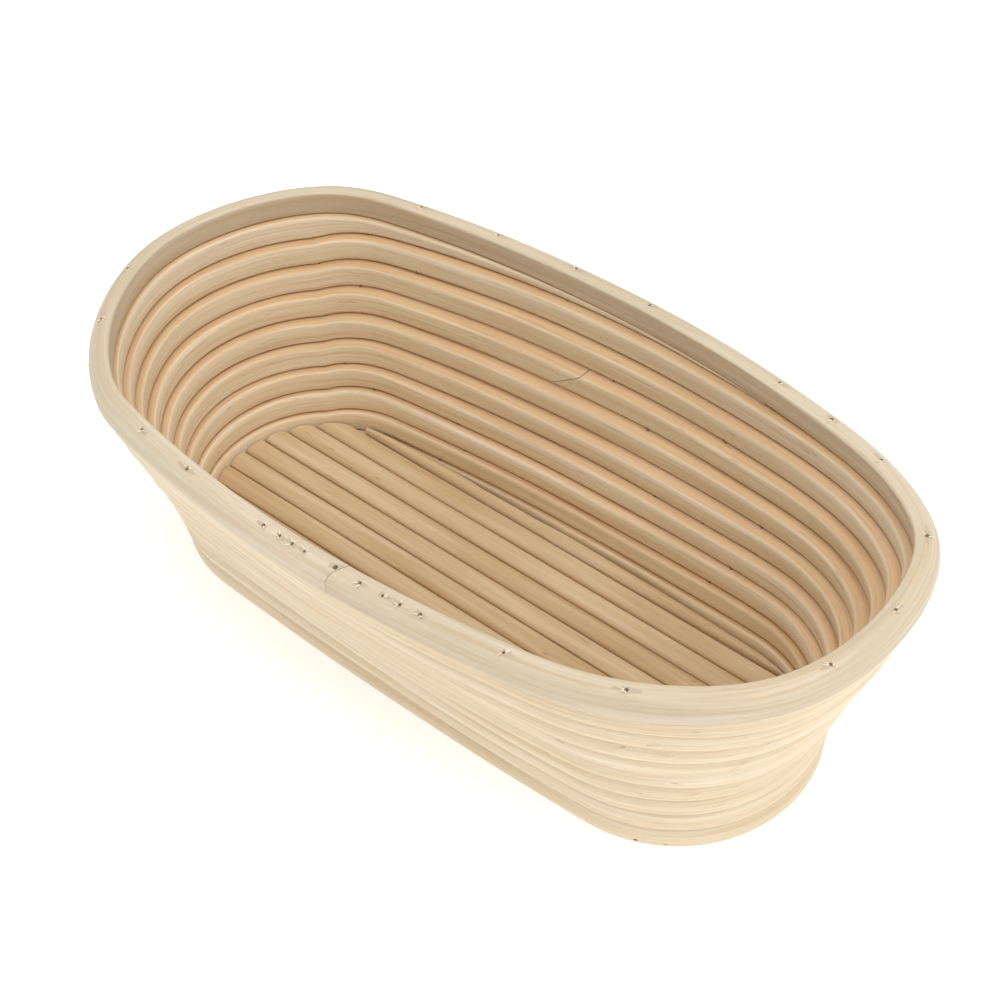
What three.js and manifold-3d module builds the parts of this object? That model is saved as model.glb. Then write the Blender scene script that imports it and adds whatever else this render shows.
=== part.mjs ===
// Oval banneton: half-round rattan cane wound into a flared wall, with a floor of straight canes.
// Millimetres, +Z up, +X along the length. The origin is the middle of the rim, on the table.
import * as THREE from "three";
import { mergeVertices } from "three/addons/utils/BufferGeometryUtils.js";
import Module from "manifold-3d";

const wasm = await Module();
wasm.setup();

// Overall size.
const length = 280;
const width = 140;
const height = 80;

// The wall: nine wound turns and a rim cane, each one pitch high.
const turns = 9;
const pitch = height / (turns + 1);
const gap = 0.3; // left between canes that touch
const rimEndRadius = 66.5;
const baseLength = 234.8;
const baseWidth = 87.6;
const baseEndRadius = 42.9;
const baseShift = { x: -2.9, y: -3.1 }; // from under the middle of the rim to the footprint's middle

// A bent cane is never a true oval. Each wave puts it a little out of true: how many times the
// wave goes round the basket, and its cosine and sine parts.
const rimWaves = [[2, 2.9, 0.5], [3, 0.7, 1.2], [4, -0.4, 0], [5, -0.8, -0.5]];
const baseWaves = [[2, 0.8, -0.3]];

const wallThickness = 6.3;
const wallBulge = 2.6; // how far the half-round inside of a turn stands in
const rimThickness = 6.8;
const rimShoulder = 4.2; // how far in the rounding over to the outside reaches
const rimShoulderFrom = 3.2; // how high up the outside it starts
const rimInnerRound = 2.4;
const rimChamfer = 0.8;

// How the wall leans out on its way up: a straight flare, held back low down and flicked out above.
const flareBow = 0.1;
const flareFlick = 0.04;

// Way round the basket: 0 to 1 is the back from left to right, then the right end, the front
// and the left end take one unit each. The winding goes up that way round.
const wayRound = 4;
const wayLength = 150; // millimetres of cane to one unit, near enough for the slant of a cut
const climbFrom = -0.6; // the winding climbs one pitch from here
const climbTo = 1; // to here
const startRise = 3.2; // height of the blunt end that the first turn starts with
const lastRise = 1.7; // height of the sliver that the last turn runs out to
const spliceTurn = 6;
const spliceWay = 0.432; // where the upper wall cane carries on from the lower one
const spliceSlant = 13; // how far the cut runs along the cane, from its lower to its upper edge
const rimJointWay = 2.383;
const rimJointSlant = 4; // how far the cut runs along the cane, through its thickness

// The floor: straight canes side by side along the basket, and a tapered one at the back.
const floorCanes = 9;
const floorPitch = 7.55;
const floorBack = 28.6; // back edge of the last full cane
const floorCaneHeight = 4.6;
const floorLift = 0.4; // the floor canes hang this far above the table
const wedgeFrom = -80; // the tapered cane starts as a sliver here
const wedgeFull = -40; // and has its full width from here
const wedgeSliver = 1.2;
const wedgeWidth = 5.2;
const wedgeSteps = 12;
const wedgeBackOff = 4; // the tapered cane stops this far short of the right end
const floorClear = 0.45; // left between a floor cane's end and the wall

// Wooden pins.
const pinRadius = 0.75;
const pinSides = 6;
const rimPinTop = 78.8;
const rimPinDepth = 12;
const rimPinInset = 3.4; // from the outside of the rim, at the top
const rimPinTilt = THREE.MathUtils.degToRad(14); // the lower end leans in, to follow the wall
const rimHoleOpen = 3; // a pin's hole runs on past it by this much, so that its end shows
const baseHoleOpen = 2;
const crossHoleOpen = 0;
const rimPinWays = [
  0.07, 0.24, 0.41, 0.57, 0.85, 0.965, 1.05, 1.25, 1.46, 1.59, 1.9, 2.055,
  2.21, 2.25, 2.285, 2.333, 2.456, 2.485, 2.515, 2.555, 2.765, 2.91, 3.25, 3.37,
];
const basePinHeight = 2.2;
const basePinLength = 5.6;
const basePinWays = [0.34, 0.45, 1.615, 1.71, 1.815, 1.88, 2.92, 3.015];
const basePinSunk = 0.3; // from the outside of the lowest turn
const crossPinHeight = 2.4;
const crossPinPlaces = [-62, 0, 58];
const crossPinLength = 58;

const endSteps = 12; // steps along each round end
const sideSteps = 8; // steps along each long side
const roundSteps = 2; // sets how finely a section's round side is cut
const leastStep = 0.3; // a cut this close to a step, as a share of it, takes the step's place
const outlineSteps = 400; // steps round the footprint where a floor cane's end is looked up

const cream = new THREE.Color("#e6cfa6");
const tan = new THREE.Color("#d8b987");
const pinBrown = new THREE.Color("#8a6b42");

function finish(color) {
  return new THREE.MeshStandardMaterial({ color, roughness: 0.62, metalness: 0 });
}

function named(name, geometry, color) {
  const mesh = new THREE.Mesh(geometry, finish(color));
  mesh.name = name;
  return mesh;
}

// A smooth rise from 0 to 1.
function smooth(x) {
  const t = THREE.MathUtils.clamp(x, 0, 1);
  return t * t * (3 - 2 * t);
}

// How far out the wall has leaned at this height: 0 at the table and 1 at the rim.
function flare(z) {
  const v = THREE.MathUtils.clamp(z / (height - pitch), 0, 1);
  return v - flareBow * Math.sin(Math.PI * v) - flareFlick * Math.sin(2 * Math.PI * v);
}

// How far the waves push the outline out where it faces this way, and how fast that changes.
function outOfTrue(normal, lean) {
  const push = { out: 0, slope: 0 };
  for (const [waves, share] of [[rimWaves, lean], [baseWaves, 1 - lean]]) {
    for (const [order, cosine, sine] of waves) {
      const turn = order * normal;
      push.out += share * (cosine * Math.cos(turn) + sine * Math.sin(turn));
      push.slope += share * order * (sine * Math.cos(turn) - cosine * Math.sin(turn));
    }
  }
  return push;
}

// The four arcs of the oval at one lean: half sizes, arc radii, the angle where they meet, and
// the shift that keeps the outline's box in its place. The waves don't change the overall size.
function oval(lean) {
  const [right, back, left, front] = [0, 1, 2, 3].map((i) => outOfTrue((i * Math.PI) / 2, lean).out);
  const a = (THREE.MathUtils.lerp(baseLength, length, lean) - right - left) / 2;
  const b = (THREE.MathUtils.lerp(baseWidth, width, lean) - back - front) / 2;
  const end = THREE.MathUtils.lerp(baseEndRadius, rimEndRadius, lean);
  const side = ((a - end) ** 2 + b * b - end * end) / (2 * b - 2 * end);
  const shiftX = baseShift.x * (1 - lean) - (right - left) / 2;
  const shiftY = baseShift.y * (1 - lean) + (front - back) / 2;
  return { a, b, end, side, shiftX, shiftY, meet: Math.atan2(side - b, a - end) };
}

// A point on the oval's outside, moved in or out by some millimetres, and its outward normal.
function onOval(way, lean, out = 0) {
  const { a, b, end, side, shiftX, shiftY, meet } = oval(lean);
  const arc = THREE.MathUtils.euclideanModulo(Math.floor(way), wayRound);
  const along = way - Math.floor(way);
  const isEnd = arc % 2 === 1;
  const half = isEnd ? meet : Math.PI / 2 - meet;
  const normal = Math.PI / 2 - (arc * Math.PI) / 2 + half * (1 - 2 * along);
  const push = outOfTrue(normal, lean);
  const radius = (isEnd ? end : side) + out + push.out;
  const centres = [
    [0, b - side],
    [a - end, 0],
    [0, side - b],
    [end - a, 0],
  ];
  return {
    x: shiftX + centres[arc][0] + radius * Math.cos(normal) - push.slope * Math.sin(normal),
    y: shiftY + centres[arc][1] + radius * Math.sin(normal) + push.slope * Math.cos(normal),
    normal,
  };
}

// Where the footprint, moved in by this much, crosses a line: its lowest and highest x where
// line is "y", or its lowest and highest y where line is "x".
function innerSpan(line, at, inset) {
  const along = line === "x" ? "y" : "x";
  const found = [];
  let before = onOval(0, 0, -inset);
  for (let i = 1; i <= outlineSteps; i++) {
    const here = onOval((i * wayRound) / outlineSteps, 0, -inset);
    const share = (at - before[line]) / (here[line] - before[line]);
    if (share >= 0 && share < 1) found.push(THREE.MathUtils.lerp(before[along], here[along], share));
    before = here;
  }
  return [Math.min(...found), Math.max(...found)];
}

// The steps of way between two places: every one of a common set, so that turns that lie on
// each other have the same facets.
function waySteps(from, to) {
  const steps = [from];
  for (let arc = Math.floor(from); arc <= Math.floor(to); arc++) {
    const count = THREE.MathUtils.euclideanModulo(arc, 2) === 1 ? endSteps : sideSteps;
    for (let i = 0; i < count; i++) {
      const way = arc + i / count;
      const clear = leastStep / count;
      if (way > from + clear && way < to - clear) steps.push(way);
    }
  }
  steps.push(to);
  return steps;
}

// A straight cane of this section, bent into place: stand(x, y, step, isEnd) gives the place
// of the section's point x, y at each step of its length.
function bentCane(section, steps, stand) {
  const geometry = new THREE.ExtrudeGeometry(section, {
    depth: steps.length - 1,
    steps: steps.length - 1,
    bevelEnabled: false,
    curveSegments: roundSteps,
  });
  const points = geometry.attributes.position;
  for (let i = 0; i < points.count; i++) {
    const step = Math.round(points.getZ(i));
    const isCut = step === 0 || step === steps.length - 1;
    const p = stand(points.getX(i), points.getY(i), steps[step], isCut);
    points.setXYZ(i, p.x, p.y, p.z);
  }
  geometry.computeVertexNormals();
  return geometry;
}

// A turn's section: flat on the outside at x = 0 and half-round inside, one unit high.
function turnSection() {
  const shape = new THREE.Shape();
  shape.moveTo(0, 0);
  shape.lineTo(0, 1);
  shape.absellipse(wallBulge - wallThickness, 0.5, wallBulge, 0.5, Math.PI / 2, 1.5 * Math.PI);
  shape.closePath();
  return shape;
}

// The rim's section, in millimetres: upright inside and rounded over the top to the outside.
function rimSection() {
  const crown = pitch - rimShoulderFrom;
  const inner = rimThickness - rimShoulder;
  const shape = new THREE.Shape();
  shape.moveTo(0, 0);
  shape.absellipse(-rimShoulder, rimShoulderFrom, rimShoulder, crown, 0, Math.PI / 2);
  shape.absellipse(-rimShoulder, pitch - rimInnerRound, inner, rimInnerRound, Math.PI / 2, Math.PI);
  shape.lineTo(-rimThickness, rimChamfer);
  shape.lineTo(rimChamfer - rimThickness, 0);
  shape.closePath();
  return shape;
}

// How high the winding's lower edge is at this way, counted from the start of the climb.
function windingRise(way) {
  const turn = Math.floor((way - climbFrom) / wayRound);
  const past = way - climbFrom - turn * wayRound;
  return pitch * (turn - 1 + Math.min(past / (climbTo - climbFrom), 1));
}

// Millimetres along the cane as a piece of way.
function wayOf(millimetres) {
  return millimetres / wayLength;
}

function woundCane(from, to, slants) {
  const top = turns * pitch;
  return bentCane(turnSection(), waySteps(from, to), (x, y, way, isCut) => {
    const slant = isCut && slants.includes(way) ? wayOf(spliceSlant) * (y - 0.5) : 0;
    const rise = windingRise(way + slant);
    const lower = THREE.MathUtils.clamp(rise, 0, top);
    const upper = THREE.MathUtils.clamp(rise + pitch, 0, top);
    const p = onOval(way + slant, flare(lower), x);
    return { x: p.x, y: p.y, z: lower + y * (upper - lower - gap) };
  });
}

function rimCane() {
  const opening = wayOf(gap) / 2;
  const steps = waySteps(rimJointWay + opening, rimJointWay + wayRound - opening);
  return bentCane(rimSection(), steps, (x, y, way, isCut) => {
    const slant = isCut ? wayOf(rimJointSlant) * (0.5 + x / rimThickness) : 0;
    const p = onOval(way + slant, 1, x);
    return { x: p.x, y: p.y, z: turns * pitch + y };
  });
}

// A floor cane's section: flat underneath and half-round above, one unit wide.
function floorSection() {
  const shape = new THREE.Shape();
  shape.moveTo(0, 0);
  shape.lineTo(1, 0);
  shape.lineTo(1, 1);
  shape.absellipse(0.5, 1, 0.5, floorCaneHeight - 1, 0, Math.PI);
  shape.closePath();
  return shape;
}

function floorCane(front, back) {
  return bentCane(floorSection(), [-1, 1], (x, y, side) => {
    const across = THREE.MathUtils.lerp(front, back, x);
    const [left, right] = innerSpan("y", across, wallThickness + floorClear);
    return { x: side < 0 ? left : right, y: across, z: floorLift + y };
  });
}

function wedgeCane() {
  const front = floorBack + gap;
  const to = innerSpan("y", front + wedgeSliver / 2, wallThickness + floorClear)[1] - wedgeBackOff;
  const steps = [];
  for (let i = 0; i <= wedgeSteps; i++) steps.push(THREE.MathUtils.lerp(wedgeFrom, to, i / wedgeSteps));
  return bentCane(floorSection(), steps, (x, y, place) => {
    const room = innerSpan("x", place, wallThickness + floorClear)[1] - front;
    const grown = (place - wedgeFrom) / (wedgeFull - wedgeFrom);
    const wide = Math.min(room, THREE.MathUtils.lerp(wedgeSliver, wedgeWidth, smooth(grown)));
    return { x: place, y: front + x * wide, z: floorLift + y };
  });
}

function pin(pinLength, radius) {
  return new THREE.CylinderGeometry(radius, radius, pinLength, pinSides);
}

function solid(geometry) {
  const bare = geometry.clone();
  bare.deleteAttribute("normal");
  bare.deleteAttribute("uv");
  const merged = mergeVertices(bare, 1e-4);
  return new wasm.Manifold(
    new wasm.Mesh({
      numProp: 3,
      vertProperties: merged.attributes.position.array,
      triVerts: new Uint32Array(merged.index.array),
    }),
  );
}

function fromSolid(cut) {
  const mesh = cut.getMesh();
  const geometry = new THREE.BufferGeometry();
  geometry.setAttribute("position", new THREE.BufferAttribute(mesh.vertProperties, 3));
  geometry.setIndex(new THREE.BufferAttribute(mesh.triVerts, 1));
  geometry.computeVertexNormals();
  return geometry;
}

// The cane with a hole for each pin, a gap wider all round than the pin itself.
function drilled(geometry, holes) {
  return fromSolid(holes.reduce((rest, hole) => rest.subtract(solid(hole)), solid(geometry)));
}

function rimPins() {
  return rimPinWays.map((way, i) => {
    const at = onOval(way, 1, (-Math.sin(rimPinTilt) * rimPinDepth) / 2 - rimPinInset);
    const place = new THREE.Matrix4().makeRotationZ(at.normal);
    place.multiply(new THREE.Matrix4().makeRotationY(rimPinTilt));
    place.multiply(new THREE.Matrix4().makeRotationX(Math.PI / 2));
    place.setPosition(at.x, at.y, rimPinTop - (Math.cos(rimPinTilt) * rimPinDepth) / 2);
    return { name: `rim_pin_${i + 1}`, pinLength: rimPinDepth, place, open: rimHoleOpen };
  });
}

function basePins() {
  return basePinWays.map((way, i) => {
    const at = onOval(way, 0, -basePinLength / 2 - basePinSunk);
    const place = new THREE.Matrix4().makeRotationZ(at.normal - Math.PI / 2);
    place.setPosition(at.x, at.y, basePinHeight);
    return { name: `base_pin_${i + 1}`, pinLength: basePinLength, place, open: baseHoleOpen };
  });
}

function crossPins() {
  return crossPinPlaces.map((x, i) => {
    const place = new THREE.Matrix4();
    const middle = floorBack - (floorCanes * floorPitch) / 2;
    place.setPosition(baseShift.x + x, middle, crossPinHeight);
    return { name: `cross_pin_${i + 1}`, pinLength: crossPinLength, place, open: crossHoleOpen };
  });
}

function pinSolid({ pinLength, place }) {
  return pin(pinLength, pinRadius).applyMatrix4(place);
}

// The hole runs on past the pin by its open length, so that the pin's end shows.
function pinHole({ pinLength, place, open }) {
  return pin(pinLength + 2 * gap + 2 * open, pinRadius + gap).applyMatrix4(place);
}

const spliceAt = spliceTurn * wayRound + spliceWay;
const climb = climbTo - climbFrom;
const startAt = climbFrom + (climb * startRise) / pitch;
const endAt = turns * wayRound + climbTo - (climb * lastRise) / pitch;
const rimHoles = rimPins().map(pinHole);
const baseHoles = basePins().map(pinHole);
const crossHoles = crossPins().map(pinHole);
const half = wayOf(gap) / 2;

const basket = new THREE.Group();
basket.add(
  named("rim_cane", drilled(rimCane(), rimHoles), cream),
  named("wall_cane_lower", drilled(woundCane(startAt, spliceAt - half, [spliceAt - half]), baseHoles), cream),
  named("wall_cane_upper", drilled(woundCane(spliceAt + half, endAt, [spliceAt + half]), rimHoles), cream),
);
for (let i = 0; i < floorCanes; i++) {
  const back = floorBack - (floorCanes - 1 - i) * floorPitch;
  const cane = floorCane(back - floorPitch + gap, back);
  basket.add(named(`floor_cane_${i + 1}`, drilled(cane, crossHoles), tan));
}
basket.add(named("floor_wedge_cane", wedgeCane(), tan));
for (const one of [...rimPins(), ...basePins(), ...crossPins()]) {
  basket.add(named(one.name, pinSolid(one), pinBrown));
}

export default basket;
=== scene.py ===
# Oval banneton: peeled rattan canes wound into a flared wall, over a floor of straight canes.
# Metres, +Z up, +X along the length. Every cane is made straight, then bent round the basket.
import math
import random

import bpy
from mathutils import Matrix, Quaternion, Vector, noise


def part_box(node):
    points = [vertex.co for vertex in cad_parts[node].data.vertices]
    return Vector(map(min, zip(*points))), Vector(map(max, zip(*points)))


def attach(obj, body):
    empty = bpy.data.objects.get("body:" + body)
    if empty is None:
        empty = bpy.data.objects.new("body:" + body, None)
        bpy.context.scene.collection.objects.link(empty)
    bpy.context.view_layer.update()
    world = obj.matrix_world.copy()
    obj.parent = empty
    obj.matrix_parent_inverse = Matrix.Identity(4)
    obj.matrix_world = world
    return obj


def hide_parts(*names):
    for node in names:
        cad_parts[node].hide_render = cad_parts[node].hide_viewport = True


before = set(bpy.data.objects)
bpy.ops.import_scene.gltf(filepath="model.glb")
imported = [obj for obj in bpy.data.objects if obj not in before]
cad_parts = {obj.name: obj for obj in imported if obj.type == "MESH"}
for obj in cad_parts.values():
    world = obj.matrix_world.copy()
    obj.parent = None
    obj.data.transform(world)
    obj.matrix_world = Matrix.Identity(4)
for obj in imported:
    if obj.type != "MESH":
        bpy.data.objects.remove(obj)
chance = random.Random(7)
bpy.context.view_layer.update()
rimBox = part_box("rim_cane")
print("frame loaded")

basket = {
    "length": rimBox[1].x - rimBox[0].x,
    "width": rimBox[1].y - rimBox[0].y,
    "height": rimBox[1].z,
    "turns": 9,
    "rimEndRadius": 0.0665,
    "baseLength": 0.2348,
    "baseWidth": 0.0876,
    "baseEndRadius": 0.0429,
    "baseShift": (-0.0029, -0.0031),  # how far the footprint sits from under the middle of the rim
    # bent by hand, so a little out of true: times round, cosine part and sine part of each wave
    "rimWaves": [(2, 0.0029, 0.0005), (3, 0.0007, 0.0012), (4, -0.0004, 0), (5, -0.0008, -0.0005)],
    "baseWaves": [(2, 0.0008, -0.0003)],
    "bow": 0.10,  # how far the flare is held back low down
    "flick": 0.04,  # and how far it flicks out above
    "climbFrom": -0.2,  # the winding climbs one pitch between these places
    "climbTo": 0.95,
    "climbEase": 0.6,  # fast at first, over the blunt end that it starts with
    "wallThickness": 0.0063,
    "stepsRound": 144,  # route points on one turn
    "outlineSteps": 400,  # steps round the footprint where a floor cane's end is looked up
    "wayStep": 0.01,  # for finding which way a cane runs
}
pitch = basket["height"] / (basket["turns"] + 1)
wallTop = pitch * basket["turns"]


def clamp(value, low=0.0, high=1.0):
    return max(low, min(high, value))


def blend(a, b, share):
    return a + (b - a) * share


def smooth(value):
    t = clamp(value)
    return t * t * (3 - 2 * t)


def flare(z):
    v = clamp(z / wallTop)
    return v - basket["bow"] * math.sin(math.pi * v) - basket["flick"] * math.sin(2 * math.pi * v)


def outOfTrue(normal, lean):
    # how far the waves push the outline out where it faces this way, and how fast it changes
    out, slope = 0.0, 0.0
    for waves, share in ((basket["rimWaves"], lean), (basket["baseWaves"], 1 - lean)):
        for order, cosine, sine in waves:
            turn = order * normal
            out += share * (cosine * math.cos(turn) + sine * math.sin(turn))
            slope += share * order * (sine * math.cos(turn) - cosine * math.sin(turn))
    return out, slope


def onOval(way, lean, out=0.0):
    # way 0 to 1 is the back from left to right, then the right end, the front, the left end
    right, back, left, front = [outOfTrue(i * math.pi / 2, lean)[0] for i in range(4)]
    a = (blend(basket["baseLength"], basket["length"], lean) - right - left) / 2
    b = (blend(basket["baseWidth"], basket["width"], lean) - back - front) / 2
    end = blend(basket["baseEndRadius"], basket["rimEndRadius"], lean)
    side = ((a - end) ** 2 + b * b - end * end) / (2 * b - 2 * end)
    meet = math.atan2(side - b, a - end)
    arc = math.floor(way) % 4
    along = way - math.floor(way)
    half = meet if arc % 2 else math.pi / 2 - meet
    normal = math.pi / 2 - arc * math.pi / 2 + half * (1 - 2 * along)
    push, slope = outOfTrue(normal, lean)
    radius = (end if arc % 2 else side) + out + push
    centre = [(0, b - side), (a - end, 0), (0, side - b), (end - a, 0)][arc]
    x = basket["baseShift"][0] * (1 - lean) - (right - left) / 2 + centre[0]
    y = basket["baseShift"][1] * (1 - lean) + (front - back) / 2 + centre[1]
    return Vector((x + radius * math.cos(normal) - slope * math.sin(normal),
                   y + radius * math.sin(normal) + slope * math.cos(normal), 0))


def windingRise(way):
    # height of the winding's lower edge
    turn = math.floor((way - basket["climbFrom"]) / 4)
    past = way - basket["climbFrom"] - turn * 4
    climbed = min(past / (basket["climbTo"] - basket["climbFrom"]), 1) ** basket["climbEase"]
    return pitch * (turn - 1 + climbed)


handling = {
    "merge": 1e-6,  # points closer than this are one
    "cutFacing": 0.4,  # a face turned along the cane by more than this is a cut end
    "endFacing": 0.9,  # and by more than this, the end of a short slice
    "near": 1e-5,
    "bumpHeight": 0.0003,
    "smoothAngle": 50,
}


def dropSelection():
    if bpy.context.object and bpy.context.object.mode != "OBJECT":
        bpy.ops.object.mode_set(mode="OBJECT")
    bpy.ops.object.select_all(action="DESELECT")


def pick(piece):
    dropSelection()
    piece.select_set(True)
    bpy.context.view_layer.objects.active = piece


def editPart(piece, chosen):
    # into edit mode with the points that pass the test selected
    pick(piece)
    bpy.context.tool_settings.mesh_select_mode = (True, False, False)
    bpy.ops.object.mode_set(mode="EDIT")
    bpy.ops.mesh.select_all(action="DESELECT")
    bpy.ops.object.mode_set(mode="OBJECT")
    for point in piece.data.vertices:
        point.select = chosen(point.co)
    bpy.ops.object.mode_set(mode="EDIT")


def leaveEdit():
    bpy.ops.object.mode_set(mode="OBJECT")


def applyModifiers(piece):
    pick(piece)
    for modifier in list(piece.modifiers):
        bpy.ops.object.modifier_apply(modifier=modifier.name)


def faceOut(piece):
    editPart(piece, lambda co: True)
    bpy.ops.mesh.remove_doubles(threshold=handling["merge"])
    bpy.ops.mesh.normals_make_consistent(inside=False)
    leaveEdit()


def copyOf(piece, name):
    twin = piece.copy()
    twin.data = piece.data.copy()
    twin.name = twin.data.name = name
    bpy.context.scene.collection.objects.link(twin)
    return twin


def finishPiece(piece, material, slotName, *nodes):
    pick(piece)
    bpy.ops.object.transform_apply(location=True, rotation=True, scale=True)
    bpy.ops.object.shade_smooth_by_angle(angle=math.radians(handling["smoothAngle"]))
    piece.data.materials.clear()
    piece.data.materials.append(material)
    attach(piece, "root")
    if nodes:
        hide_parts(*nodes)
    return piece


def halfRoundStrip(name, size, length):
    # a short round stick, squashed flat on its outer side and repeated to its full length
    count = round(length / size["slice"])
    slice = length / count
    dropSelection()
    bpy.ops.mesh.primitive_cylinder_add(
        vertices=size["sides"], radius=size["high"] / 2, depth=slice, end_fill_type="NOTHING",
        location=(slice / 2, 0, 0), rotation=(0, math.pi / 2, 0))
    strip = bpy.context.object
    strip.name = strip.data.name = name
    bpy.ops.object.transform_apply(location=True, rotation=True, scale=True)
    editPart(strip, lambda co: co.y > 1e-6)
    bpy.ops.transform.resize(value=(1, size["belly"] / (size["high"] / 2), 1),
                             center_override=(0, 0, 0))
    bpy.ops.transform.translate(value=(0, size["thick"] - size["ridge"] - size["belly"], 0))
    leaveEdit()
    for point in strip.data.vertices:
        if point.co.y < 0:
            fall = clamp(abs(point.co.z) / (size["high"] / 2)) ** size["round"]
            point.co.y = -size["ridge"] * (1 - fall) ** (1 / size["round"])
    editPart(strip, lambda co: True)
    bpy.ops.transform.translate(value=(0, size["ridge"] - size["thick"], 0))
    leaveEdit()
    return repeatStrip(strip, count)


def repeatStrip(strip, count):
    run = strip.modifiers.new("run", "ARRAY")
    run.count = count
    run.use_merge_vertices = True
    run.merge_threshold = handling["near"]
    applyModifiers(strip)
    editPart(strip, lambda co: True)
    bpy.ops.mesh.fill_holes(sides=0)
    leaveEdit()
    faceOut(strip)
    return strip


def slantCut(strip, at, slant, keepLeft):
    # cuts the strip through at this place, square to the slant, and keeps one side
    editPart(strip, lambda co: True)
    bpy.ops.mesh.bisect(plane_co=(at, 0, 0), plane_no=slant, use_fill=True,
                        clear_outer=keepLeft, clear_inner=not keepLeft)
    leaveEdit()


def markStrip(strip, high, offset):
    # remembers where each point lay on the straight cane, so that the grain follows the bend, how
    # near each point lies to the cane's edges, for the painted shade in the grooves, and which
    # faces are cut ends
    for kind, name, where in (("FLOAT_VECTOR", "laid", "POINT"), ("FLOAT", "edge", "POINT"),
                              ("FLOAT", "cut", "FACE")):
        strip.data.attributes.new(name, kind, where)
    marks = strip.data.attributes
    for i, point in enumerate(strip.data.vertices):
        marks["laid"].data[i].vector = (point.co.x + offset, point.co.y, point.co.z)
        marks["edge"].data[i].value = clamp(abs(point.co.z) / (high / 2))
    for i, face in enumerate(strip.data.polygons):
        marks["cut"].data[i].value = 1.0 if abs(face.normal.x) > handling["cutFacing"] else 0.0


def routeAlong(name, points):
    # a flat curve for a cane to follow, and how far along it each point is
    curve = bpy.data.curves.new(name, "CURVE")
    curve.dimensions = "2D"
    line = curve.splines.new("POLY")
    line.points.add(len(points) - 1)
    reached = [0.0]
    for i, point in enumerate(points):
        line.points[i].co = (point.x, point.y, 0, 1)
        if i:
            reached.append(reached[-1] + (point - points[i - 1]).length)
    route = bpy.data.objects.new(name, curve)
    bpy.context.scene.collection.objects.link(route)
    return route, reached


def bendAlong(strip, route):
    bend = strip.modifiers.new("bend", "CURVE")
    bend.object = route
    bend.deform_axis = "POS_X"
    applyModifiers(strip)
    bpy.data.objects.remove(route)


def lookUp(reached, values, at):
    # the value at this distance along a route
    low, high = 0, len(reached) - 1
    while high - low > 1:
        middle = (low + high) // 2
        if reached[middle] <= at:
            low = middle
        else:
            high = middle
    share = (at - reached[low]) / (reached[high] - reached[low])
    return blend(values[low], values[high], share)


def waysBetween(start, end, perTurn):
    count = max(2, round((end - start) / 4 * perTurn))
    return [blend(start, end, i / count) for i in range(count + 1)]


def wander(piece, shape, seed):
    # nothing split by hand is true: the canes swell, thin and drift a little
    long, slow = shape["long"], shape["long"] * shape["slow"]
    for point in piece.data.vertices:
        co = point.co.copy()
        course = Vector((co.x * long, co.y * long, co.z * shape["tall"] + seed))
        drift = Vector((co.x * slow, co.y * slow, seed + shape["apart"]))
        away = Vector((co.x, co.y, 0)).normalized()
        point.co = co + away * noise.noise(course) * shape["out"]
        ends = smooth(point.co.z / shape["still"]) * smooth((wallTop - point.co.z) / shape["still"])
        point.co.z += noise.noise(drift) * shape["lift"] * ends


def newNode(tree, kind, x, y, **settings):
    made = tree.nodes.new(kind)
    made.location = (x, y)
    for key, value in settings.items():
        setattr(made, key, value)
    return made


def wire(tree, start, end):
    tree.links.new(start, end)


def effectGroup(name, inputs, outputs):
    group = bpy.data.node_groups.new(name, "ShaderNodeTree")
    for label, kind, value in inputs:
        socket = group.interface.new_socket(name=label, in_out="INPUT", socket_type=kind)
        if value is not None:
            socket.default_value = value
    for label, kind in outputs:
        group.interface.new_socket(name=label, in_out="OUTPUT", socket_type=kind)
    start = newNode(group, "NodeGroupInput", -900, 0)
    end = newNode(group, "NodeGroupOutput", 900, 0)
    return group, start, end


def stretchedNoise(tree, vector, stretch, detail, roughness, x, y):
    scaled = newNode(tree, "ShaderNodeVectorMath", x, y, operation="MULTIPLY")
    scaled.inputs[1].default_value = stretch
    cloud = newNode(tree, "ShaderNodeTexNoise", x + 200, y)
    cloud.inputs["Scale"].default_value = 1
    cloud.inputs["Detail"].default_value = detail
    cloud.inputs["Roughness"].default_value = roughness
    wire(tree, vector, scaled.inputs[0])
    wire(tree, scaled.outputs[0], cloud.inputs["Vector"])
    return cloud.outputs["Fac"]


def spread(tree, value, low, high, x, y):
    band = newNode(tree, "ShaderNodeMapRange", x, y)
    band.inputs["From Min"].default_value = low
    band.inputs["From Max"].default_value = high
    wire(tree, value, band.inputs["Value"])
    return band.outputs["Result"]


def sums(tree, kind, a, b, x, y):
    made = newNode(tree, "ShaderNodeMath", x, y, operation=kind)
    for socket, value in zip(made.inputs, (a, b)):
        if isinstance(value, (int, float)):
            socket.default_value = value
        else:
            wire(tree, value, socket)
    return made.outputs[0]


# how each pattern is stretched along, across and through a cane, and the range that shows
grain = {
    "broad": (9, 420, 420), "fine": (34, 1500, 1500), "hair": (22, 2600, 2600),
    "streakRange": (0.36, 0.64), "hairRange": (0.60, 0.74), "broadShare": 0.55,
    "tone": (4.2, 90, 90), "toneRange": (0.32, 0.68),
    "blush": (15, 200, 200), "blushRange": (0.46, 0.74),
    "dash": (150, 1500, 1500), "dashRange": (0.68, 0.76),
    "dashPlace": (24, 160, 160), "dashPlaceRange": (0.52, 0.62),
    "pores": 2600, "poreRange": (0.42, 0.18),
}


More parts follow.
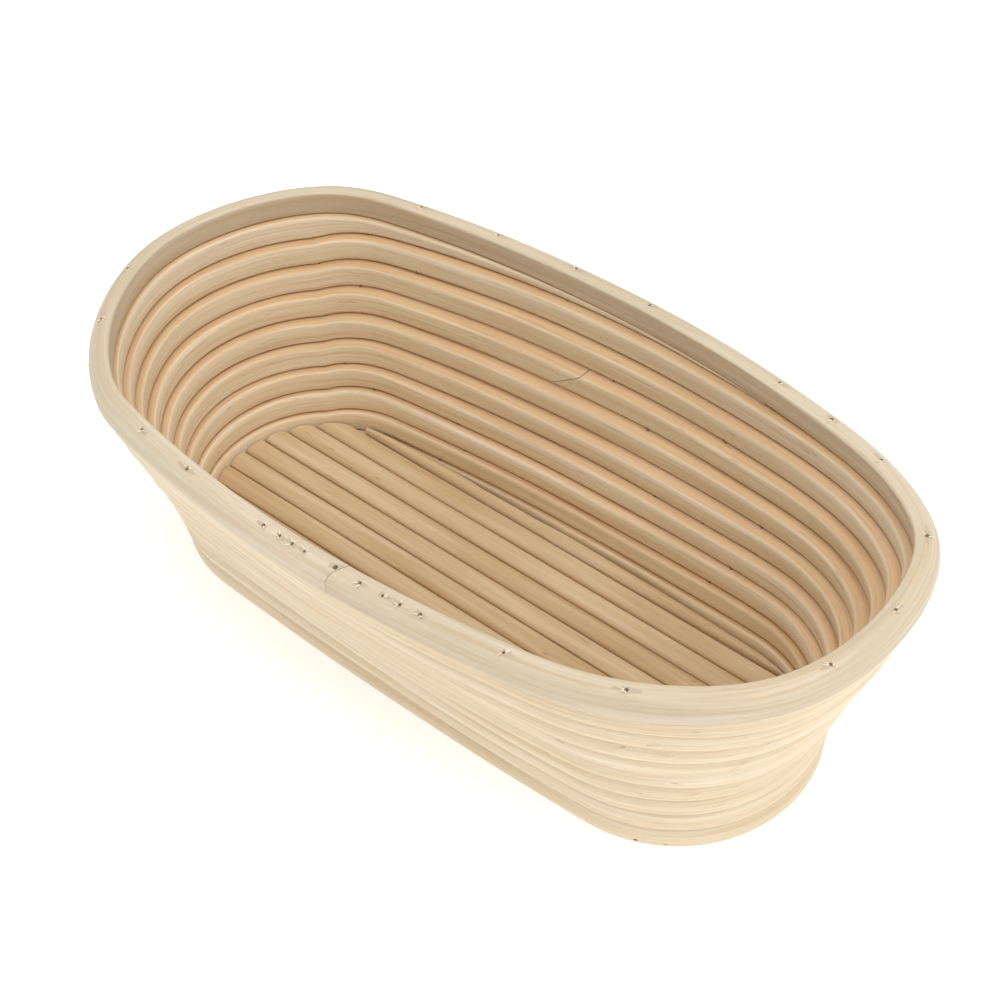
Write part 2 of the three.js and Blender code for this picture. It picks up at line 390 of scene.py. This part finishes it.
def buildFibre():
    # lengthwise fibres: broad streaks, fine streaks, and the height that they stand up
    group, start, end = effectGroup(
        "rattanFibre", [("Laid", "NodeSocketVector", None)],
        [("Streaks", "NodeSocketFloat"), ("Hairlines", "NodeSocketFloat"),
         ("Height", "NodeSocketFloat")])
    laid = start.outputs["Laid"]
    broad = stretchedNoise(group, laid, grain["broad"], 3, 0.55, -650, 300)
    fine = stretchedNoise(group, laid, grain["fine"], 3, 0.6, -650, 0)
    hair = stretchedNoise(group, laid, grain["hair"], 2, 0.5, -650, -300)
    share = grain["broadShare"]
    both = sums(group, "ADD", sums(group, "MULTIPLY", broad, share, -200, 300),
                sums(group, "MULTIPLY", fine, 1 - share, -200, 100), 0, 200)
    wire(group, spread(group, both, *grain["streakRange"], 200, 200), end.inputs["Streaks"])
    wire(group, spread(group, hair, *grain["hairRange"], 200, -100), end.inputs["Hairlines"])
    wire(group, sums(group, "ADD", fine, sums(group, "MULTIPLY", broad, 0.5, 200, -300), 400, -300),
         end.inputs["Height"])
    return group


def buildTone():
    # slow change of colour along and across a cane
    group, start, end = effectGroup(
        "rattanTone", [("Laid", "NodeSocketVector", None)],
        [("Tone", "NodeSocketFloat"), ("Blush", "NodeSocketFloat")])
    laid = start.outputs["Laid"]
    slow = stretchedNoise(group, laid, grain["tone"], 2, 0.5, -650, 200)
    blush = stretchedNoise(group, laid, grain["blush"], 2, 0.5, -650, -200)
    wire(group, spread(group, slow, *grain["toneRange"], 200, 200), end.inputs["Tone"])
    wire(group, spread(group, blush, *grain["blushRange"], 200, -200), end.inputs["Blush"])
    return group


def buildFlecks():
    # short dark dashes and specks left in the peeled skin
    group, start, end = effectGroup(
        "rattanFlecks", [("Laid", "NodeSocketVector", None)], [("Flecks", "NodeSocketFloat")])
    laid = start.outputs["Laid"]
    dashes = stretchedNoise(group, laid, grain["dash"], 1, 0.4, -650, 200)
    where = stretchedNoise(group, laid, grain["dashPlace"], 1, 0.5, -650, -200)
    mask = sums(group, "MULTIPLY", spread(group, dashes, *grain["dashRange"], 0, 200),
                spread(group, where, *grain["dashPlaceRange"], 0, -200), 300, 0)
    wire(group, mask, end.inputs["Flecks"])
    return group


def buildPores():
    # the open pores of a cane cut across
    group, start, end = effectGroup(
        "endPores", [("Place", "NodeSocketVector", None)], [("Pores", "NodeSocketFloat")])
    cells = newNode(group, "ShaderNodeTexVoronoi", -300, 0)
    cells.inputs["Scale"].default_value = grain["pores"]
    wire(group, start.outputs["Place"], cells.inputs["Vector"])
    pores = spread(group, cells.outputs["Distance"], *grain["poreRange"], 0, 0)
    wire(group, pores, end.inputs["Pores"])
    return group


def tint(tree, mode, factor, a, b, x, y):
    made = newNode(tree, "ShaderNodeMix", x, y, data_type="RGBA", blend_type=mode)
    for socket, value in ((made.inputs[0], factor), (made.inputs[6], a), (made.inputs[7], b)):
        if isinstance(value, (int, float)):
            socket.default_value = value
        elif isinstance(value, tuple):
            socket.default_value = (*value, 1)
        else:
            wire(tree, value, socket)
    return made.outputs[2]


effects = {"fibre": buildFibre(), "tone": buildTone(), "flecks": buildFlecks(),
           "pores": buildPores()}


def useEffect(tree, name, feed, x, y):
    placed = newNode(tree, "ShaderNodeGroup", x, y, node_tree=effects[name])
    wire(tree, feed, placed.inputs[0])
    return placed


def rattan(name, look):
    material = bpy.data.materials.new(name)
    material.use_nodes = True
    tree = material.node_tree
    shader = tree.nodes["Principled BSDF"]
    laid = newNode(tree, "ShaderNodeAttribute", -1500, 0, attribute_name="laid").outputs["Vector"]
    edge = newNode(tree, "ShaderNodeAttribute", -1500, -300, attribute_name="edge").outputs["Fac"]
    cut = newNode(tree, "ShaderNodeAttribute", -1500, -500, attribute_name="cut").outputs["Fac"]
    place = newNode(tree, "ShaderNodeTexCoord", -1500, -700).outputs["Object"]
    fibre = useEffect(tree, "fibre", laid, -1200, 200)
    tone = useEffect(tree, "tone", laid, -1200, 0)
    flecks = useEffect(tree, "flecks", laid, -1200, -200)
    pores = useEffect(tree, "pores", place, -1200, -700)
    color = tint(tree, "MIX", tone.outputs["Tone"], look["pale"], look["deep"], -900, 300)
    blush = sums(tree, "MULTIPLY", tone.outputs["Blush"], look["blushAmount"], -1000, 100)
    color = tint(tree, "MIX", blush, color, look["blush"], -700, 300)
    streak = sums(tree, "MULTIPLY", fibre.outputs["Streaks"], look["streakAmount"], -700, 100)
    color = tint(tree, "MULTIPLY", streak, color, look["streak"], -500, 300)
    hair = sums(tree, "MULTIPLY", fibre.outputs["Hairlines"], look["hairAmount"], -700, -100)
    color = tint(tree, "MIX", hair, color, look["hair"], -350, 300)
    # painted shade: each cane is darkened and browned towards its edges, in the grooves between
    # canes where shade falls
    paintedGrooveShade = sums(tree, "MULTIPLY", spread(tree, edge, look["paintedShadeFrom"], 1.0, -900, -300),
                  look["paintedShadeAmount"], -600, -300)
    color = tint(tree, "MULTIPLY", paintedGrooveShade, color, look["paintedGrooveShade"], -200, 300)
    spots = sums(tree, "MULTIPLY", flecks.outputs["Flecks"], look["fleckAmount"], -500, -200)
    color = tint(tree, "MIX", spots, color, look["fleck"], 0, 300)
    pored = sums(tree, "MULTIPLY", pores.outputs["Pores"], look["poreAmount"], -700, -700)
    ends = tint(tree, "MIX", pored, look["end"], look["endPore"], -400, -700)
    color = tint(tree, "MIX", cut, color, ends, 150, 300)
    wire(tree, color, shader.inputs["Base Color"])
    rough = newNode(tree, "ShaderNodeMapRange", 0, 0)
    rough.inputs["To Min"].default_value = look["gloss"][0]
    rough.inputs["To Max"].default_value = look["gloss"][1]
    wire(tree, fibre.outputs["Streaks"], rough.inputs["Value"])
    wire(tree, rough.outputs["Result"], shader.inputs["Roughness"])
    bump = newNode(tree, "ShaderNodeBump", 0, -300)
    bump.inputs["Strength"].default_value = look["bump"]
    bump.inputs["Distance"].default_value = handling["bumpHeight"]
    wire(tree, fibre.outputs["Height"], bump.inputs["Height"])
    wire(tree, bump.outputs["Normal"], shader.inputs["Normal"])
    shader.inputs["Specular IOR Level"].default_value = look["specular"]
    return material


commonLook = {
    "pale": (0.88, 0.79, 0.63), "deep": (0.82, 0.70, 0.51), "blush": (0.86, 0.73, 0.56),
    "blushAmount": 0.35, "streak": (0.80, 0.70, 0.56), "streakAmount": 0.75,
    # the groove colour and its two settings paint shade into the grooves between canes
    "hair": (0.56, 0.38, 0.20), "hairAmount": 0.65, "paintedShadeFrom": 0.90, "paintedShadeAmount": 0.7,
    "paintedGrooveShade": (0.70, 0.48, 0.28), "fleck": (0.36, 0.22, 0.11), "fleckAmount": 0.5,
    "end": (0.76, 0.60, 0.40), "endPore": (0.40, 0.25, 0.13),
    "poreAmount": 0.7, "gloss": (0.42, 0.62),
    "bump": 0.6, "specular": 0.3,
}
# the rim is given a darker copy of the wall's colour: painted shade on its upward face
rimLookShaded = {**commonLook, "pale": (0.70, 0.62, 0.49), "deep": (0.64, 0.55, 0.41),
           "paintedShadeAmount": 0.3, "hairAmount": 0.2, "fleckAmount": 0.3}
# the floor canes are darker than the wall: partly their own colour, partly painted shade for the
# dim inside of the basket
floorLookPartShaded = {**commonLook, "pale": (0.60, 0.46, 0.29), "deep": (0.50, 0.35, 0.19),
             "hairAmount": 0.5, "fleckAmount": 0.7}
rimRattanShaded = rattan("rimRattanShaded", rimLookShaded)
wallRattan = rattan("wallRattan", commonLook)
floorRattanPartShaded = rattan("floorRattanPartShaded", floorLookPartShaded)


def pinWood():
    look = {"heart": (0.16, 0.09, 0.045), "worn": (0.34, 0.21, 0.11), "grain": (2600, 2600, 500),
            "range": (0.35, 0.68), "bump": 0.5, "rough": 0.75}
    material = bpy.data.materials.new("pinWood")
    material.use_nodes = True
    tree = material.node_tree
    shader = tree.nodes["Principled BSDF"]
    place = newNode(tree, "ShaderNodeTexCoord", -900, 0).outputs["Object"]
    lines = stretchedNoise(tree, place, look["grain"], 3, 0.6, -700, 0)
    worn = spread(tree, lines, *look["range"], -250, 0)
    color = tint(tree, "MIX", worn, look["heart"], look["worn"], 0, 0)
    wire(tree, color, shader.inputs["Base Color"])
    bump = newNode(tree, "ShaderNodeBump", 0, -300)
    bump.inputs["Strength"].default_value = look["bump"]
    bump.inputs["Distance"].default_value = handling["bumpHeight"]
    wire(tree, lines, bump.inputs["Height"])
    wire(tree, bump.outputs["Normal"], shader.inputs["Normal"])
    shader.inputs["Roughness"].default_value = look["rough"]
    return material


def frayedFibre():
    look = {"tip": (0.93, 0.86, 0.72), "root": (0.80, 0.66, 0.46), "grain": (1800, 1800, 1800),
            "range": (0.35, 0.65), "rough": 0.7}
    material = bpy.data.materials.new("frayedFibre")
    material.use_nodes = True
    tree = material.node_tree
    shader = tree.nodes["Principled BSDF"]
    place = newNode(tree, "ShaderNodeTexCoord", -900, 0).outputs["Object"]
    cloud = stretchedNoise(tree, place, look["grain"], 2, 0.5, -700, 0)
    pale = spread(tree, cloud, *look["range"], -250, 0)
    color = tint(tree, "MIX", pale, look["root"], look["tip"], 0, 0)
    wire(tree, color, shader.inputs["Base Color"])
    shader.inputs["Roughness"].default_value = look["rough"]
    return material


darkWood = pinWood()
paleFray = frayedFibre()
print("materials made")

wall = {
    "strip": {"high": pitch, "thick": basket["wallThickness"], "ridge": 0.0011, "belly": 0.0014,
              "sides": 32, "round": 2.8, "slice": 0.004},
    "joint": 0.0002,
    "spliceGap": 0.0005,  # left between one turn and the next
    "startRise": 0.0012,
    "lastRise": 0.0005,
    "spliceWay": 24.432,
    "spliceSlant": 0.013,
    "wander": {"long": 22, "tall": 80, "slow": 0.6, "apart": 9, "still": 0.01, "out": 0.0005,
               "lift": 0.0004},
    "overlap": 0.1,  # of way, beyond the splice, which the cut takes off
    "grainApart": 5.0,  # keeps one cane's grain from repeating the other's
}


def woundCane(name, start, end):
    ways = waysBetween(start, end, basket["stepsRound"])
    points = [onOval(way, flare(clamp(windingRise(way), 0, wallTop))) for way in ways]
    route, reached = routeAlong(name + "Route", points)
    cane = halfRoundStrip(name, wall["strip"], reached[-1])
    return cane, route, reached, ways


def raiseWound(cane, reached, ways, high):
    # sets each stretch of the cane at its height on the winding
    for point in cane.data.vertices:
        rise = windingRise(lookUp(reached, ways, clamp(point.co.x, 0, reached[-1])))
        lower = clamp(rise, 0, wallTop)
        upper = clamp(rise + pitch, 0, wallTop)
        up = point.co.z / high + 0.5
        point.co.z = lower + up * (upper - lower - wall["joint"])


def wallCanes():
    climb = basket["climbTo"] - basket["climbFrom"]
    first = basket["climbFrom"] + climb * (wall["startRise"] / pitch) ** (1 / basket["climbEase"])
    left = 1 - wall["lastRise"] / pitch
    last = basket["turns"] * 4 + basket["climbFrom"] + climb * left ** (1 / basket["climbEase"])
    spans = {"wallCaneLower": (first, wall["spliceWay"] + wall["overlap"]),
             "wallCaneUpper": (wall["spliceWay"] - wall["overlap"], last)}
    made = []
    high = wall["strip"]["high"]
    for i, (name, (start, end)) in enumerate(spans.items()):
        cane, route, reached, ways = woundCane(name, start, end)
        at = lookUp(ways, reached, wall["spliceWay"])
        slope = Vector((high, 0, -wall["spliceSlant"])).normalized()
        gap = wall["spliceGap"] * (0.5 if i else -0.5)
        slantCut(cane, at + gap, slope, keepLeft=i == 0)
        markStrip(cane, high, wall["grainApart"] * i)
        raiseWound(cane, reached, ways, high)
        bendAlong(cane, route)
        wander(cane, wall["wander"], 0)
        faceOut(cane)
        made.append(cane)
    return made


lowerCane, upperCane = wallCanes()
finishPiece(lowerCane, wallRattan, "wall_rattan", "wall_cane_lower")
finishPiece(upperCane, wallRattan, "wall_rattan", "wall_cane_upper")
print("wall wound")

rim = {
    "thick": 0.0068,
    "round": 0.0044,  # over the top to the outside
    "roundCuts": 10,
    "edgeCuts": 3,
    "innerEdge": 0.0008,
    "lip": 0.0007,
    "slice": 0.004,
    "jointWay": 2.383,
    "jointSlant": 0.004,
    "gap": 0.0003,
    "pit": 0.0006,  # where a pin went in
    "pitDeep": 0.0022,
    "pitTaper": (0.8, 1.15),
    "pitSides": 9,
    "pitRagged": (0.8, 1.25),
    "holeWay": 0.006,  # the knot hole, this far past the joint
    "holeInset": 0.9,
    "holeSize": 1.3,
    "holeLean": 0.3,
    "wander": {"long": 14, "tall": 0, "slow": 0.6, "apart": 9, "still": 0.01, "out": 0.0003,
               "lift": 0},
    "wanderSeed": 4,
    "pinEnd": 0.001,  # a pin's points this near its top belong to its upper end
    "overlap": 0.1,  # of way, beyond each end, which the cuts take off
    "grainFrom": 11,
}


def rimStrip(length):
    count = round(length / rim["slice"])
    slice = length / count
    dropSelection()
    bpy.ops.mesh.primitive_cube_add(size=1, location=(slice / 2, -rim["thick"] / 2, pitch / 2),
                                    scale=(slice, rim["thick"], pitch))
    strip = bpy.context.object
    strip.name = strip.data.name = "rimCane"
    bpy.ops.object.transform_apply(location=True, rotation=True, scale=True)
    pick(strip)
    bpy.context.tool_settings.mesh_select_mode = (False, False, True)
    bpy.ops.object.mode_set(mode="EDIT")
    bpy.ops.mesh.select_all(action="DESELECT")
    bpy.ops.object.mode_set(mode="OBJECT")
    for face in strip.data.polygons:
        face.select = abs(face.normal.x) > handling["endFacing"]
    bpy.ops.object.mode_set(mode="EDIT")
    bpy.ops.mesh.delete(type="ONLY_FACE")
    leaveEdit()
    middle = rim["thick"] / 2
    near, inner = handling["near"], handling["near"] - rim["thick"]
    corners = [
        (lambda co: co.y > -middle and co.z > pitch / 2, rim["round"], rim["roundCuts"]),
        (lambda co: co.y < inner and co.z > pitch - near, rim["innerEdge"], rim["edgeCuts"]),
        (lambda co: co.y > -near and co.z < near, rim["lip"], rim["edgeCuts"]),
        (lambda co: co.y < inner and co.z < near, rim["lip"], rim["edgeCuts"]),
    ]
    for chosen, radius, segments in corners:
        editPart(strip, chosen)
        bpy.ops.mesh.bevel(offset=radius, segments=segments, affect="EDGES")
        leaveEdit()
    return repeatStrip(strip, count)


def rimCane():
    start, end = rim["jointWay"] - rim["overlap"], rim["jointWay"] + 4 + rim["overlap"]
    ways = waysBetween(start, end, basket["stepsRound"])
    route, reached = routeAlong("rimRoute", [onOval(way, 1) for way in ways])
    cane = rimStrip(reached[-1])
    slope = Vector((rim["thick"], -rim["jointSlant"], 0)).normalized()
    for turn, keepLeft in ((0, False), (1, True)):
        at = lookUp(ways, reached, rim["jointWay"] + 4 * turn)
        gap = rim["gap"] * (-0.5 if turn else 0.5)
        slantCut(cane, at + gap + rim["jointSlant"] / 2, slope, keepLeft)
    markStrip(cane, 1, rim["grainFrom"])
    bendAlong(cane, route)
    for point in cane.data.vertices:
        point.co.z += wallTop
    wander(cane, rim["wander"], rim["wanderSeed"])
    drill(cane, rimPits() + [jointHole()])
    faceOut(cane)
    return cane


def pitCutter(name, place, radius, deep, lean=0.0):
    dropSelection()
    narrow, wide = rim["pitTaper"]
    bpy.ops.mesh.primitive_cone_add(vertices=rim["pitSides"], radius1=radius * narrow,
                                    radius2=radius * wide, depth=deep * 2, location=place,
                                    rotation=(lean, 0, 0))
    cutter = bpy.context.object
    cutter.name = name
    return cutter


def pinTop(pin):
    # the middle of a CAD pin's upper end
    high = max(point.co.z for point in pin.data.vertices)
    end = [point.co for point in pin.data.vertices if point.co.z > high - rim["pinEnd"]]
    return sum(end, Vector()) / len(end)


def rimPits():
    pits = []
    for i, top in enumerate(rimPinTops):
        ragged = chance.uniform(*rim["pitRagged"])
        pits.append(pitCutter(f"pit{i}", (top.x, top.y, basket["height"]), rim["pit"] * ragged,
                              rim["pitDeep"]))
    return pits


def jointHole():
    # a dark knot of missing wood beside the rim's joint
    place = onOval(rim["jointWay"] + rim["holeWay"], 1, -rim["round"] * rim["holeInset"])
    return pitCutter("jointHole", (place.x, place.y, basket["height"]),
                     rim["pit"] * rim["holeSize"], rim["pitDeep"] * rim["holeSize"],
                     rim["holeLean"])


def drill(piece, cutters):
    for cutter in cutters:
        hole = piece.modifiers.new(cutter.name, "BOOLEAN")
        hole.object = cutter
        hole.solver = "EXACT"
    applyModifiers(piece)
    for cutter in cutters:
        bpy.data.objects.remove(cutter)


rimPinTops = [pinTop(node) for name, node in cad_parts.items()
              if name.startswith("rim_pin")]
rimPiece = rimCane()
print("rim bent")

floor = {
    "strip": {"high": 0.00745, "thick": 0.0046, "ridge": 0.0023, "belly": 0.0001, "sides": 28,
              "round": 2.3, "slice": 0.005},
    "pitch": 0.00755,
    "back": 0.0286,
    "lift": 0.0004,
    "canes": 9,
    "endGap": 0.0006,
    "wedgeFrom": -0.0885,
    "wedgeSliver": 0.0006,
    "wedgeRidge": 0.0031,
    "slit": 0.0007,  # see-through gap behind the tapered cane
    "slitFrom": -0.048,
    "slitTo": -0.004,
    "slitFade": 0.01,
    "snug": 0.00012,  # between the tapered cane and the wall elsewhere
    "grainFrom": 20,
    "grainApart": 0.7,
    "wedgeGrain": 31,
}


def innerSpan(line, at, inset):
    # where the footprint, moved in by this much, crosses the line x = at or y = at
    along = 1 - line
    steps = basket["outlineSteps"]
    found = []
    before = onOval(0, 0, -inset)
    for i in range(1, steps + 1):
        here = onOval(4 * i / steps, 0, -inset)
        step = here[line] - before[line]
        share = (at - before[line]) / step if step else -1
        if 0 <= share < 1:
            found.append(blend(before[along], here[along], share))
        before = here
    return min(found), max(found)


def floorCane(i):
    back = floor["back"] - (floor["canes"] - 1 - i) * floor["pitch"]
    middle = back - floor["pitch"] / 2
    inset = basket["wallThickness"] + floor["endGap"]
    left, right = innerSpan(1, middle, inset)
    cane = halfRoundStrip(f"floorCane{i + 1}", floor["strip"], right - left)
    markStrip(cane, floor["strip"]["high"], floor["grainFrom"] + floor["grainApart"] * i)
    spans = {}
    for point in cane.data.vertices:
        # the ends follow the wall
        y = middle - point.co.z
        if y not in spans:
            spans[y] = innerSpan(1, y, inset)
        share = point.co.x / (right - left)
        point.co = (blend(*spans[y], share), y, floor["lift"] - point.co.y)
    faceOut(cane)
    return cane


floorPieces = [floorCane(i) for i in range(floor["canes"])]
for i, cane in enumerate(floorPieces):
    finishPiece(cane, floorRattanPartShaded, "floor_rattan", f"floor_cane_{i + 1}")


def wedgeCane():
    # fills what the wall's curve leaves behind the last full cane
    front = floor["back"] + wall["joint"]
    inset = basket["wallThickness"]
    end = innerSpan(1, front + floor["wedgeSliver"], inset)[1]
    length = end - floor["wedgeFrom"]
    high = floor["strip"]["high"]
    strip = {**floor["strip"], "ridge": floor["wedgeRidge"]}
    cane = halfRoundStrip("floorWedgeCane", strip, length)
    markStrip(cane, high, floor["wedgeGrain"])
    rooms = {}
    for point in cane.data.vertices:
        x = floor["wedgeFrom"] + point.co.x
        if x not in rooms:
            gape = (smooth((x - floor["slitFrom"]) / floor["slitFade"])
                    * smooth((floor["slitTo"] - x) / floor["slitFade"]))
            gap = blend(floor["snug"], floor["slit"], gape)
            rooms[x] = innerSpan(0, x, inset)[1] - front - gap
        share = 0.5 - point.co.z / high
        point.co = (x, front + share * rooms[x], floor["lift"] - point.co.y)
    faceOut(cane)
    return cane


finishPiece(wedgeCane(), floorRattanPartShaded, "floor_rattan", "floor_wedge_cane")
print("floor laid")
finishPiece(rimPiece, rimRattanShaded, "rim_rattan", "rim_cane")

for name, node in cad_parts.items():
    if "pin" in name:
        node.data.materials.clear()
        node.data.materials.append(darkWood)

scraps = {
    "rimChip": {"long": 0.0021, "wide": 0.00045, "bow": 0.0004, "turn": 1, "lift": (0.1, 0.4),
                "sunk": 0.0001},
    "wallHair": {"long": 0.0065, "wide": 0.00026, "bow": 0.0009, "turn": 0.5, "lift": 0.05,
                 "heights": (0.25, 0.8)},
    "groovePeg": {"long": 0.0019, "wide": 0.0008, "turn": 0.7, "deep": 0.45,
                  "squash": (1, 0.5, 0.7), "sides": 7},
    "sides": 5,
    "cuts": 3,
    "chipsPerPin": 3,
    # ways along the winding
    "hairs": [33.81, 29.87, 29.5, 25.89, 25.83, 25.66, 25.4, 21.7, 17.82, 17.6, 13.86, 13.76, 9.7],
    "pegs": [32.06, 35.95, 11.94, 12.18, 36.4, 28.53, 28.79, 24.63, 16.69, 16.81, 20.93, 12.9, 8.86,
             27.92, 23.92, 4.13, 8.2, 31.8, 23.81, 15.86],
}


def spike(name, size):
    # a thin pointed sliver lying along X, bowed up towards its tip
    dropSelection()
    bpy.ops.mesh.primitive_cone_add(vertices=scraps["sides"], radius1=size["wide"] / 2, radius2=0,
                                    depth=size["long"], location=(size["long"] / 2, 0, 0),
                                    rotation=(0, math.pi / 2, 0))
    piece = bpy.context.object
    piece.name = piece.data.name = name
    bpy.ops.object.transform_apply(location=True, rotation=True, scale=True)
    editPart(piece, lambda co: True)
    bpy.ops.mesh.subdivide(number_cuts=scraps["cuts"])
    leaveEdit()
    for point in piece.data.vertices:
        point.co.z += size["bow"] * (point.co.x / size["long"]) ** 2
    return piece


def peg(name, size):
    dropSelection()
    bpy.ops.mesh.primitive_cylinder_add(vertices=size["sides"], radius=size["wide"] / 2,
                                        depth=size["long"], rotation=(0, math.pi / 2, 0))
    piece = bpy.context.object
    piece.name = piece.data.name = name
    bpy.ops.object.transform_apply(location=True, rotation=True, scale=True)
    editPart(piece, lambda co: co.x > 0)
    bpy.ops.transform.resize(value=size["squash"])
    leaveEdit()
    return piece


def onWinding(way, out, up):
    # a place on the wall, with the cane's direction there and the way out of the wall
    rise = windingRise(way)
    lean = flare(clamp(rise, 0, wallTop))
    place = onOval(way, lean, out)
    step = basket["wayStep"]
    along = (onOval(way + step, lean, out) - onOval(way - step, lean, out)).normalized()
    return Vector((place.x, place.y, rise + up)), along, Vector((-along.y, along.x, 0))


def layOn(piece, place, along, out, turn, lift):
    # puts a piece that lies along X on a surface, turned and lifted a little by chance
    frameOf = Matrix((along, out.cross(along), out)).transposed().to_4x4()
    spin = Matrix.Rotation(turn, 4, "Z") @ Matrix.Rotation(-lift, 4, "Y")
    piece.matrix_world = Matrix.Translation(place) @ frameOf @ spin


def joinAll(name, pieces):
    dropSelection()
    for piece in pieces:
        piece.select_set(True)
    bpy.context.view_layer.objects.active = pieces[0]
    bpy.ops.object.join()
    pieces[0].name = pieces[0].data.name = name
    return pieces[0]


def rimChips():
    size = scraps["rimChip"]
    first = spike("rimChip", size)
    chips = []
    for top in rimPinTops:
        for i in range(scraps["chipsPerPin"]):
            around = chance.uniform(0, 2 * math.pi)
            edge = Vector((math.cos(around), math.sin(around), 0)) * rim["pit"]
            place = Vector((top.x, top.y, basket["height"] - size["sunk"])) + edge
            chip = copyOf(first, f"rimChip{len(chips)}")
            turn = around + chance.uniform(-size["turn"], size["turn"])
            lift = chance.uniform(*size["lift"])
            layOn(chip, place, Vector((1, 0, 0)), Vector((0, 0, 1)), turn, lift)
            chips.append(chip)
    bpy.data.objects.remove(first)
    return joinAll("rimChips", chips)


def wallHairs():
    size = scraps["wallHair"]
    first = spike("wallHair", size)
    hairs = []
    for way in scraps["hairs"]:
        place, along, out = onWinding(way, 0, pitch * chance.uniform(*size["heights"]))
        hair = copyOf(first, f"wallHair{len(hairs)}")
        turn = chance.uniform(-size["turn"], size["turn"]) + chance.choice((0, math.pi))
        layOn(hair, place, along, out, turn, size["lift"])
        hairs.append(hair)
    bpy.data.objects.remove(first)
    return joinAll("wallHairs", hairs)


def groovePegs():
    size = scraps["groovePeg"]
    first = peg("groovePeg", size)
    pegs = []
    for way in scraps["pegs"]:
        deep = basket["wallThickness"] - wall["strip"]["ridge"] * size["deep"]
        place, along, out = onWinding(way, -deep, 0)
        made = copyOf(first, f"groovePeg{len(pegs)}")
        turn = math.pi / 2 + chance.uniform(-size["turn"], size["turn"])
        layOn(made, place, along, -out, turn, 0)
        pegs.append(made)
    bpy.data.objects.remove(first)
    return joinAll("groovePegs", pegs)


finishPiece(rimChips(), paleFray, "wall_rattan")
finishPiece(wallHairs(), paleFray, "wall_rattan")
finishPiece(groovePegs(), darkWood, "pin_wood")
print("small marks added")

stage = {"size": 6.0, "color": (0.90, 0.89, 0.87), "rough": 0.9, "shine": 0.1, "glow": 0.44,
         "aim": (0, 0, 0.03), "sky": 0.54, "skyColor": (1.0, 0.99, 0.97)}


def paleFloor():
    dropSelection()
    bpy.ops.mesh.primitive_plane_add(size=stage["size"], location=(0, 0, 0))
    table = bpy.context.object
    table.name = table.data.name = "paleFloor"
    material = bpy.data.materials.new("paleFloor")
    material.use_nodes = True
    shader = material.node_tree.nodes["Principled BSDF"]
    shader.inputs["Base Color"].default_value = (*stage["color"], 1)
    shader.inputs["Roughness"].default_value = stage["rough"]
    shader.inputs["Specular IOR Level"].default_value = stage["shine"]
    shader.inputs["Emission Color"].default_value = (1, 1, 1, 1)
    shader.inputs["Emission Strength"].default_value = stage["glow"]
    table.data.materials.append(material)


def softLight(name, place, size, power):
    dropSelection()
    bpy.ops.object.light_add(type="AREA", location=place)
    lamp = bpy.context.object
    lamp.name = lamp.data.name = name
    lamp.data.shape = "DISK"
    lamp.data.size = size
    lamp.data.energy = power
    lamp.rotation_mode = "QUATERNION"
    lamp.rotation_quaternion = (Vector(place) - Vector(stage["aim"])).to_track_quat("Z", "Y")


lights = [
    ("keyLight", (-0.25, -1.1, 1.1), 0.9, 0.6),
    ("fillLight", (1.2, 0.1, 1.2), 1.0, 7.5),
    ("topLight", (0.1, -0.1, 1.6), 1.2, 13.0),
]


def skyLight():
    world = bpy.data.worlds.new("studio")
    world.use_nodes = True
    sky = world.node_tree.nodes["Background"]
    sky.inputs["Color"].default_value = (*stage["skyColor"], 1)
    sky.inputs["Strength"].default_value = stage["sky"]
    bpy.context.scene.world = world


camera = {"azimuth": 48.62, "elevation": 43.6, "roll": -7.79, "distance": 0.7177, "lens": 88.05,
          "target": (-0.00274, 0.00755, 0.040)}


def photographer():
    a, e = math.radians(camera["azimuth"]), math.radians(camera["elevation"])
    back = Vector((math.sin(a) * math.cos(e), -math.cos(a) * math.cos(e), math.sin(e)))
    dropSelection()
    bpy.ops.object.camera_add(location=Vector(camera["target"]) + back * camera["distance"])
    eye = bpy.context.object
    eye.name = "camera"
    eye.rotation_mode = "QUATERNION"
    turn = Quaternion((0, 0, 1), math.radians(camera["roll"]))
    eye.rotation_quaternion = back.to_track_quat("Z", "Y") @ turn
    eye.data.lens = camera["lens"]
    eye.data.clip_start = 0.01
    bpy.context.scene.camera = eye


paleFloor()
for light in lights:
    softLight(*light)
skyLight()
photographer()
bpy.context.scene.view_settings.view_transform = "Standard"
print("stage set")
